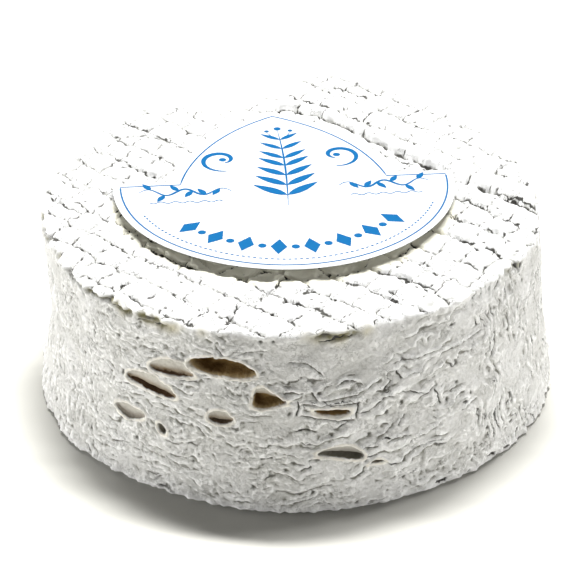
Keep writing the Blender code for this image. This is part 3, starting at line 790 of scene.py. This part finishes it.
class Nodes:
    """A new material, whose nodes get values and links by input name or number."""

    def __init__(self, name):
        self.material = bpy.data.materials.new(name)
        self.material.use_nodes = True
        self.tree = self.material.node_tree
        self.shader = self.tree.nodes["Principled BSDF"]

    def add(self, kind, inputs=None, output=0, **settings):
        made = self.tree.nodes.new(kind)
        for name, value in settings.items():
            setattr(made, name, value)
        for name, value in (inputs or {}).items():
            self.put(made.inputs[name], value)
        return made.outputs[output]

    def put(self, socket, value):
        if isinstance(value, bpy.types.NodeSocket):
            self.tree.links.new(value, socket)
        else:
            socket.default_value = value

    def shade(self, name, value):
        """Sets or links an input of the material's own shader."""
        self.put(self.shader.inputs[name], value)

    def bump(self, height, strength, depth):
        made = self.add("ShaderNodeBump", {"Height": height, "Strength": strength, "Distance": depth * MM})
        self.shade("Normal", made)

    def mask(self, name):
        return self.add("ShaderNodeAttribute", attribute_name=name, output="Fac")

    def noise(self, size, detail=3.0, roughness=0.6):
        """Noise in object space whose lumps are about this many millimetres across."""
        place = self.add("ShaderNodeTexCoord", output="Object")
        return self.add(
            "ShaderNodeTexNoise",
            {"Vector": place, "Scale": 1.0 / (size * MM), "Detail": detail, "Roughness": roughness},
        )

    def span(self, value, low, high, to_low=0.0, to_high=1.0):
        return self.add(
            "ShaderNodeMapRange",
            {"Value": value, "From Min": low, "From Max": high, "To Min": to_low, "To Max": to_high},
            interpolation_type="SMOOTHSTEP",
        )

    def mix(self, share, first, second):
        """A colour between two, by share."""
        made = self.tree.nodes.new("ShaderNodeMix")
        made.data_type = "RGBA"
        self.put(made.inputs["Factor"], share)
        for socket, value in zip((made.inputs[6], made.inputs[7]), (first, second)):
            self.put(socket, value if isinstance(value, bpy.types.NodeSocket) else (*value, 1.0))
        return made.outputs[2]

    def math(self, operation, first, second=0.0):
        return self.add("ShaderNodeMath", {0: first, 1: second}, operation=operation)

    def times(self, first, second):
        return self.math("MULTIPLY", first, second)

    def vein(self, size, width):
        """1 along the thin winding lines where a noise passes its middle value."""
        gap = self.math("ABSOLUTE", self.math("SUBTRACT", self.noise(size, 4.0, 0.6), 0.5))
        return self.span(gap, width, 0.0)

    def line(self, side, fray, thin, thick):
        """1 along the zero line of a signed distance, in a width that a noise changes along it."""
        wide = self.span(self.noise(1.7, 2.0), 0.3, 0.7, thin, thick)
        gap = self.math("ABSOLUTE", self.math("ADD", side, self.span(fray, 0.2, 0.8, -0.10, 0.10)))
        edge = self.times(wide, 0.55)
        return self.add(
            "ShaderNodeMapRange",
            {"Value": gap, "From Min": wide, "From Max": edge, "To Min": 0.0, "To Max": 1.0},
        )


def rind_material():
    """White bloom over grey ash, with painted shade in the hollows and a painted highlight on the wall's
    ridges, near black in the cracks, and brown in the eyes: the curd's tan deepened by painted bounce light
    and shade.
    """
    nodes = Nodes("ash_rind")
    cavity, face, notch = nodes.mask("cavity"), nodes.mask("face"), nodes.mask("notch")

    cloud = nodes.noise(9.0, 4.0)
    grain = nodes.noise(0.7, 4.0, 0.7)
    fray = nodes.noise(0.55, 3.0, 0.6)
    wall = nodes.mix(nodes.span(cloud, 0.35, 0.65), ASH, PALE_ASH)
    # Painted highlight on the ridges and painted shade in the hollows, by the cavity mask.
    wall = nodes.mix(nodes.span(cavity, 0.50, 0.80), wall, RIDGE_HIGHLIGHT)
    wall = nodes.mix(nodes.span(cavity, 0.44, 0.06), wall, HOLLOW_SHADE)
    wall = nodes.mix(nodes.span(grain, 0.60, 0.38, 0.0, 0.26), wall, GRAIN)
    vein = nodes.vein(1.1, 0.045)
    thin_vein = nodes.times(vein, nodes.span(nodes.noise(3.0, 2.0), 0.48, 0.62, 0.0, 0.42))
    wall = nodes.mix(thin_vein, wall, VEIN)
    wall = nodes.mix(nodes.times(nodes.mask("foot"), 0.6), wall, FOOT_BLOOM)
    # Painted shade in the upper face's hollows.
    top = nodes.mix(nodes.span(cavity, 0.45, 0.0), CHALK, CHALK_HOLLOW_SHADE)
    crazed = nodes.span(nodes.noise(3.0, 3.0), 0.46, 0.58, 0.0, 0.7)
    top = nodes.mix(nodes.times(nodes.vein(3.6, 0.016), crazed), top, CRAZE)
    top = nodes.mix(nodes.mask("by_label"), top, LABEL_SHADE)
    colour = nodes.mix(face, wall, top)
    colour = nodes.mix(nodes.times(nodes.mask("stain"), 0.75), colour, STAIN)
    # Painted shade in the notch under the rim's flakes: near black, olive in patches.
    olive_shade = nodes.times(notch, nodes.span(nodes.noise(5.0, 2.0), 0.44, 0.56))
    colour = nodes.mix(notch, colour, NOTCH_SHADE)
    colour = nodes.mix(olive_shade, colour, OLIVE_SHADE)

    ink = nodes.mix(nodes.span(nodes.noise(5.0, 2.0), 0.42, 0.58), FADED_CRACK, FRESH_CRACK)
    for name, (thin, thick) in LINE_WIDTHS.items():
        line = nodes.line(nodes.mask(name + "_side"), fray, thin, thick)
        share = nodes.times(line, nodes.span(nodes.mask(name + "_here"), 0.15, 0.8))
        colour = nodes.mix(share, colour, ink)
    colour = nodes.mix(nodes.span(nodes.mask("pit"), 0.1, 0.7), colour, PIT)

    out = nodes.mask("eye_out")
    lip = nodes.times(nodes.span(out, -0.12, 0.12), nodes.span(out, 0.75, 0.3))
    lip = nodes.times(lip, nodes.span(nodes.noise(2.5, 3.0), 0.30, 0.55, 0.35, 1.0))
    colour = nodes.mix(lip, colour, LIP)
    over = nodes.mask("slit_over")
    brown = nodes.mask("eye_brown")
    # Painted shade on the brow, deepening towards the slit.
    shaded_brow = nodes.mix(brown, GREY_BROW_SHADE, BROWN_BROW_SHADE)
    brow = nodes.mix(nodes.span(over, 2.0, -0.2), BROW, shaded_brow)
    brow = nodes.mix(nodes.span(grain, 0.60, 0.38, 0.0, 0.35), brow, BROW_GRAIN)
    # Inside the eye: the curd's tan deepened to brown as painted bounce light and shade, near black under the
    # brow as painted shade, lighter on the lower inner edge as a painted highlight.
    tan = nodes.mix(nodes.span(nodes.noise(5.0, 2.0), 0.40, 0.66), DARK_TAN_SHADE, TAN)
    deep = nodes.mix(nodes.span(over, -0.1, -1.1), BROWN_SLIT_SHADE, tan)
    deep = nodes.mix(brown, GREY_SLIT_SHADE, deep)
    floor_edge = nodes.times(nodes.span(out, -0.30, -0.10), nodes.span(over, -0.7, -1.1))
    deep = nodes.mix(nodes.times(floor_edge, brown), deep, EYE_FLOOR_HIGHLIGHT)
    inner = nodes.mix(nodes.span(over, 0.10, -0.12), brow, deep)
    colour = nodes.mix(nodes.span(out, 0.05, -0.15), colour, inner)
    nodes.shade("Base Color", colour)

    nodes.shade("Roughness", nodes.span(cloud, 0.3, 0.7, 0.82, 0.95))
    nodes.shade("Specular IOR Level", 0.25)
    nodes.shade("Sheen Weight", nodes.span(out, -0.1, 0.3, 0.0, 0.12))
    nodes.shade("Sheen Roughness", 0.6)
    height = nodes.math("ADD", nodes.noise(0.45, 4.0, 0.7), nodes.noise(1.6, 3.0, 0.6))
    height = nodes.math("SUBTRACT", height, nodes.times(vein, 0.5))
    strength = nodes.span(face, 0.2, 0.9, 0.62, 0.22)
    nodes.bump(height, strength, 0.32)
    return nodes.material


def on_disc(radius, angle):
    """A place on a circle round the middle of the label's half disc."""
    return Vector((radius * math.cos(angle), radius * math.sin(angle) - LABEL_DISC_DROP))


def label_outline(margin=0.0):
    """The label's edge in its own plane, drawn in by a margin, counter-clockwise from its right tip."""
    radius = LABEL_RADIUS - margin
    shoulder = SHOULDER_RISE - margin
    half, top = ARCH_HALF_WIDTH - margin, ARCH_HEIGHT - 1.3 * margin
    tip = math.sqrt(radius**2 - LABEL_DISC_DROP**2)
    outline = [(tip, shoulder)]
    outline += arc((half, shoulder), (0.0, top), ARCH_SIDE_RADIUS, 24)
    outline += arc((0.0, top), (-half, shoulder), ARCH_SIDE_RADIUS, 24)
    outline += [(-half, shoulder), (-tip, shoulder)]
    return outline + [on_disc(radius, angle) for angle in np.linspace(math.pi, 2 * math.pi, 97)]


def arc(start, end, radius, points):
    """Points along an arc that bulges to the right of the way from start to end, end left out."""
    start, end = Vector(start), Vector(end)
    chord = end - start
    across = Vector((-chord.y, chord.x)).normalized()
    centre = (start + end) / 2 + across * math.sqrt(radius**2 - (chord.length / 2) ** 2)
    first = math.atan2(start.y - centre.y, start.x - centre.x)
    last = math.atan2(end.y - centre.y, end.x - centre.x)
    if last < first:
        last += 2 * math.pi
    steps = [first + (last - first) * k / points for k in range(points)]
    return [(centre.x + radius * math.cos(a), centre.y + radius * math.sin(a)) for a in steps]


def paper_height(u, v):
    """Height of the paper's underside over the label's own plane."""
    sag = LABEL_SAG * (u / LABEL_RADIUS) ** 2
    ripple = 0.10 * math.sin(u / 7.5 + 0.8) * math.cos(v / 9.0)
    return -LABEL_FRONT_LIFT * v / LABEL_RADIUS - sag + ripple


def cut_grid(mesh, step):
    """Cuts flat faces along a square grid, so that they can bend."""
    reach = LABEL_RADIUS + 2
    for normal in ((1, 0, 0), (0, 1, 0)):
        for place in np.arange(-reach, reach, step):
            point = tuple(place * share for share in normal)
            geometry = mesh.verts[:] + mesh.edges[:] + mesh.faces[:]
            bmesh.ops.bisect_plane(mesh, geom=geometry, dist=1e-5, plane_co=point, plane_no=normal)


def paper_material():
    nodes = Nodes("label_paper")
    fibre = nodes.noise(2.5, 5.0, 0.6)
    nodes.shade("Base Color", nodes.mix(fibre, PAPER, PALE_PAPER))
    nodes.shade("Roughness", nodes.span(fibre, 0.3, 0.7, 0.42, 0.52))
    nodes.bump(nodes.noise(0.3, 3.0), 0.08, 0.05)
    return nodes.material


def ink_material():
    nodes = Nodes("azure_ink")
    spread = nodes.noise(0.8, 4.0, 0.6)
    nodes.shade("Base Color", nodes.mix(spread, INK, PALE_INK))
    nodes.shade("Roughness", nodes.span(spread, 0.3, 0.7, 0.5, 0.62))
    nodes.shade("Specular IOR Level", 0.15)
    return nodes.material


def finished(name, mesh, material, rise=0.0):
    """A piece on the label, from a bmesh in millimetres."""
    bmesh.ops.scale(mesh, vec=(MM, MM, MM), verts=mesh.verts)
    data = bpy.data.meshes.new(name)
    mesh.to_mesh(data)
    mesh.free()
    piece = linked(name, data)
    piece.location = Vector((*LABEL_ORIGIN, HEIGHT + LABEL_LIFT + rise)) * MM
    piece.rotation_euler = (0.0, 0.0, LABEL_TURN)
    data.materials.append(material)
    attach(piece, "root")
    return piece


def paper():
    mesh = bmesh.new()
    mesh.faces.new([mesh.verts.new((u, v, 0.0)) for u, v in label_outline()])
    cut_grid(mesh, BEND_STEP)
    for vert in mesh.verts:
        vert.co.z = paper_height(vert.co.x, vert.co.y)
    sheet = bmesh.ops.extrude_face_region(mesh, geom=mesh.faces[:])
    for item in sheet["geom"]:
        if isinstance(item, bmesh.types.BMVert):
            item.co.z += PAPER_THICKNESS
    bmesh.ops.recalc_face_normals(mesh, faces=mesh.faces)
    piece = finished("paper", mesh, paper_material())
    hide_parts("label")
    return piece


def stroke(mesh, points, width, closed=False):
    """A flat ribbon of ink along points, with ends that taper where width is a pair."""
    points = [Vector(point) for point in points]
    count = len(points)
    sides = []
    for index, point in enumerate(points):
        before = points[index - 1] if closed or index else point
        after = points[(index + 1) % count] if closed or index < count - 1 else point
        across = Vector((before.y - after.y, after.x - before.x)).normalized()
        thick = width(index / max(1, count - 1)) if callable(width) else width
        sides.append([mesh.verts.new((*(point + across * thick / 2 * side), 0.0)) for side in (1, -1)])
    pairs = list(zip(sides, sides[1:]))
    if closed:
        pairs.append((sides[-1], sides[0]))
    for (left, right), (next_left, next_right) in pairs:
        mesh.faces.new((left, right, next_right, next_left))


def leaf(mesh, base, direction, length, width):
    """A pointed leaf, drawn as its filled outline."""
    base, direction = Vector(base), Vector(direction).normalized()
    across = Vector((-direction.y, direction.x))
    shares = np.linspace(0.0, 1.0, 9)
    halves = [width / 2 * math.sin(math.pi * share**0.8) for share in shares]
    left = [base + direction * length * s + across * h for s, h in zip(shares, halves)]
    right = [base + direction * length * s - across * h for s, h in zip(shares[1:-1], halves[1:-1])]
    mesh.faces.new([mesh.verts.new((*point, 0.0)) for point in right + left[::-1]])


def dot(mesh, centre, radius, sides=14):
    turns = [2 * math.pi * k / sides for k in range(sides)]
    ring = [(centre[0] + radius * math.cos(t), centre[1] + radius * math.sin(t), 0.0) for t in turns]
    mesh.faces.new([mesh.verts.new(point) for point in ring])


def tapered(widest):
    return lambda share: widest * (0.25 + 0.75 * math.sin(math.pi * share))


def wave(start, end, height, turns, points=48):
    """Points along a sine wave between two places."""
    start, end = Vector(start), Vector(end)
    across = Vector((start.y - end.y, end.x - start.x)).normalized()
    shares = np.linspace(0.0, 1.0, points)
    return [start.lerp(end, s) + across * height * math.sin(2 * math.pi * turns * s) for s in shares]


def border_print(mesh):
    """A fine closed line inside the paper's edge."""
    stroke(mesh, label_outline(BORDER_INSET), FINE_LINE, closed=True)


def sprig_print(mesh):
    """A plant with a curved stem, paired leaves and buds, in the middle of the label."""
    shares = np.linspace(0.0, 1.0, 40)
    stem = [Vector((STEM_BOW * math.sin(s * 2.4), STEM_FOOT + STEM_HEIGHT * s)) for s in shares]
    stroke(mesh, stem, tapered(0.42))
    for share in np.linspace(0.14, 0.86, 7):
        point = stem[round(share * (len(stem) - 1))]
        size = 1.15 - 0.6 * share
        for side in (-1, 1):
            leaf(mesh, point, (side, 0.75), LEAF_LENGTH * size, LEAF_WIDTH * size)
    dot(mesh, stem[-1] + Vector((0.0, 0.9)), 0.75)
    for side in (-1, 1):
        twig = [stem[-6] + Vector((side * 2.4 * s, 3.4 * s**1.6)) for s in np.linspace(0.0, 1.0, 10)]
        stroke(mesh, twig, tapered(0.26))
        dot(mesh, twig[-1] + Vector((0.0, 0.5)), 0.5)


def garland_print(mesh):
    """Waved tendrils with small leaves on each side of the plant."""
    for side in (-1, 1):
        tendril = wave((side * 10.5, -3.6), (side * 28.5, -2.8), 1.2, 2.5 * side)
        stroke(mesh, tendril, tapered(0.62))
        for index in range(6, len(tendril) - 4, 7):
            point = tendril[index]
            leaf(mesh, point, (side * 0.6, 1.0 if index % 2 else -1.0), 3.0, 1.25)
        stroke(mesh, wave((side * 12.5, -7.4), (side * 26.5, -7.0), 0.35, 5 * side), 0.26)


def scroll_print(mesh):
    """Two bold scrolls that fill the arch on each side of the plant."""
    across, up = SCROLL_CENTRE
    for side in (-1, 1):
        scroll = []
        for share in np.linspace(0.0, 1.0, 36):
            reach = SCROLL_REACH + (SCROLL_CORE - SCROLL_REACH) * share
            angle = math.pi * (-0.55 + 1.9 * share)
            scroll.append((side * (across + reach * math.cos(angle)), up + reach * math.sin(angle)))
        stroke(mesh, scroll, tapered(1.15))
        dot(mesh, (side * 11.4, 9.2), 0.75)


def lozenge_print(mesh):
    """A band of lozenges and dots that follows the round edge."""
    radius = LABEL_RADIUS - BAND_INSET
    angles = np.radians(np.linspace(-140.0, -40.0, 15))
    for index, angle in enumerate(angles):
        centre = on_disc(radius, angle)
        outward = Vector((math.cos(angle), math.sin(angle)))
        if index % 2:
            dot(mesh, centre, 0.8)
            continue
        along = Vector((-outward.y, outward.x))
        for reach in (1.0, -1.0):
            tip = centre + outward * LOZENGE_HALF_LENGTH * reach
            half = along * LOZENGE_HALF_WIDTH
            mesh.faces.new([mesh.verts.new((*point, 0.0)) for point in (centre - half, centre + half, tip)])


def dash_print(mesh):
    """A row of short fine dashes close to the round edge, where such labels carry small print."""
    radius = LABEL_RADIUS - DASH_INSET
    for angle in np.radians(np.arange(-158.0, -21.0, 2.1)):
        ends = angle - DASH_HALF_ANGLE, angle + DASH_HALF_ANGLE
        stroke(mesh, [on_disc(radius, end) for end in ends], FINE_LINE)


def print_on_label():
    ink = ink_material()
    draws = border_print, sprig_print, garland_print, scroll_print, lozenge_print, dash_print
    for name, draw in zip(("border", "sprig", "garlands", "scrolls", "lozenges", "dashes"), draws):
        mesh = bmesh.new()
        draw(mesh)
        bmesh.ops.recalc_face_normals(mesh, faces=mesh.faces)
        cut_grid(mesh, BEND_STEP)
        for face in mesh.faces:
            if face.normal.z < 0:
                face.normal_flip()
        for vert in mesh.verts:
            vert.co.z = paper_height(vert.co.x, vert.co.y) + PAPER_THICKNESS
        finished("print_" + name, mesh, ink, PRINT_RISE)


def camera():
    data = bpy.data.cameras.new("camera")
    data.sensor_width = 36.0
    data.lens = CAMERA_LENS
    piece = linked("camera", data)
    forward = Vector((0.0, math.cos(CAMERA_ELEVATION), -math.sin(CAMERA_ELEVATION)))
    piece.location = (Vector((0.0, 0.0, HEIGHT / 2)) - forward * CAMERA_DISTANCE) * MM
    piece.rotation_euler = (math.pi / 2 - CAMERA_ELEVATION - AIM_DOWN, 0.0, -AIM_RIGHT)
    bpy.context.scene.camera = piece


def softbox(name, place, size, power):
    data = bpy.data.lights.new(name, "AREA")
    data.shape = "RECTANGLE"
    data.size, data.size_y = size
    data.energy = power
    lamp = linked(name, data)
    lamp.location = place
    lamp.rotation_euler = (LAMP_AIM - Vector(place)).to_track_quat("-Z", "Y").to_euler()
    return lamp


def studio():
    """A pale floor under soft light. One lamp lights the floor alone, for a deep shadow at the foot."""
    scene = bpy.context.scene
    scene.view_settings.view_transform = "Standard"
    scene.world = bpy.data.worlds.new("studio")
    scene.world.use_nodes = True
    background = scene.world.node_tree.nodes["Background"]
    background.inputs["Color"].default_value = (1.0, 1.0, 1.0, 1.0)
    background.inputs["Strength"].default_value = WORLD_STRENGTH
    lamps = {name: softbox(name, *setting) for name, setting in LAMPS.items()}
    bpy.ops.mesh.primitive_plane_add(size=FLOOR_SIZE)
    floor = bpy.context.object
    floor.name = "floor"
    nodes = Nodes("floor")
    nodes.shade("Base Color", (*FLOOR, 1.0))
    nodes.shade("Roughness", 0.9)
    nodes.shade("Specular IOR Level", 0.1)
    floor.data.materials.append(nodes.material)
    floor_only = bpy.data.collections.new("floor_only")
    floor_only.objects.link(floor)
    lamps["floor_lamp"].light_linking.receiver_collection = floor_only


rind()
paper()
print_on_label()
studio()
camera()
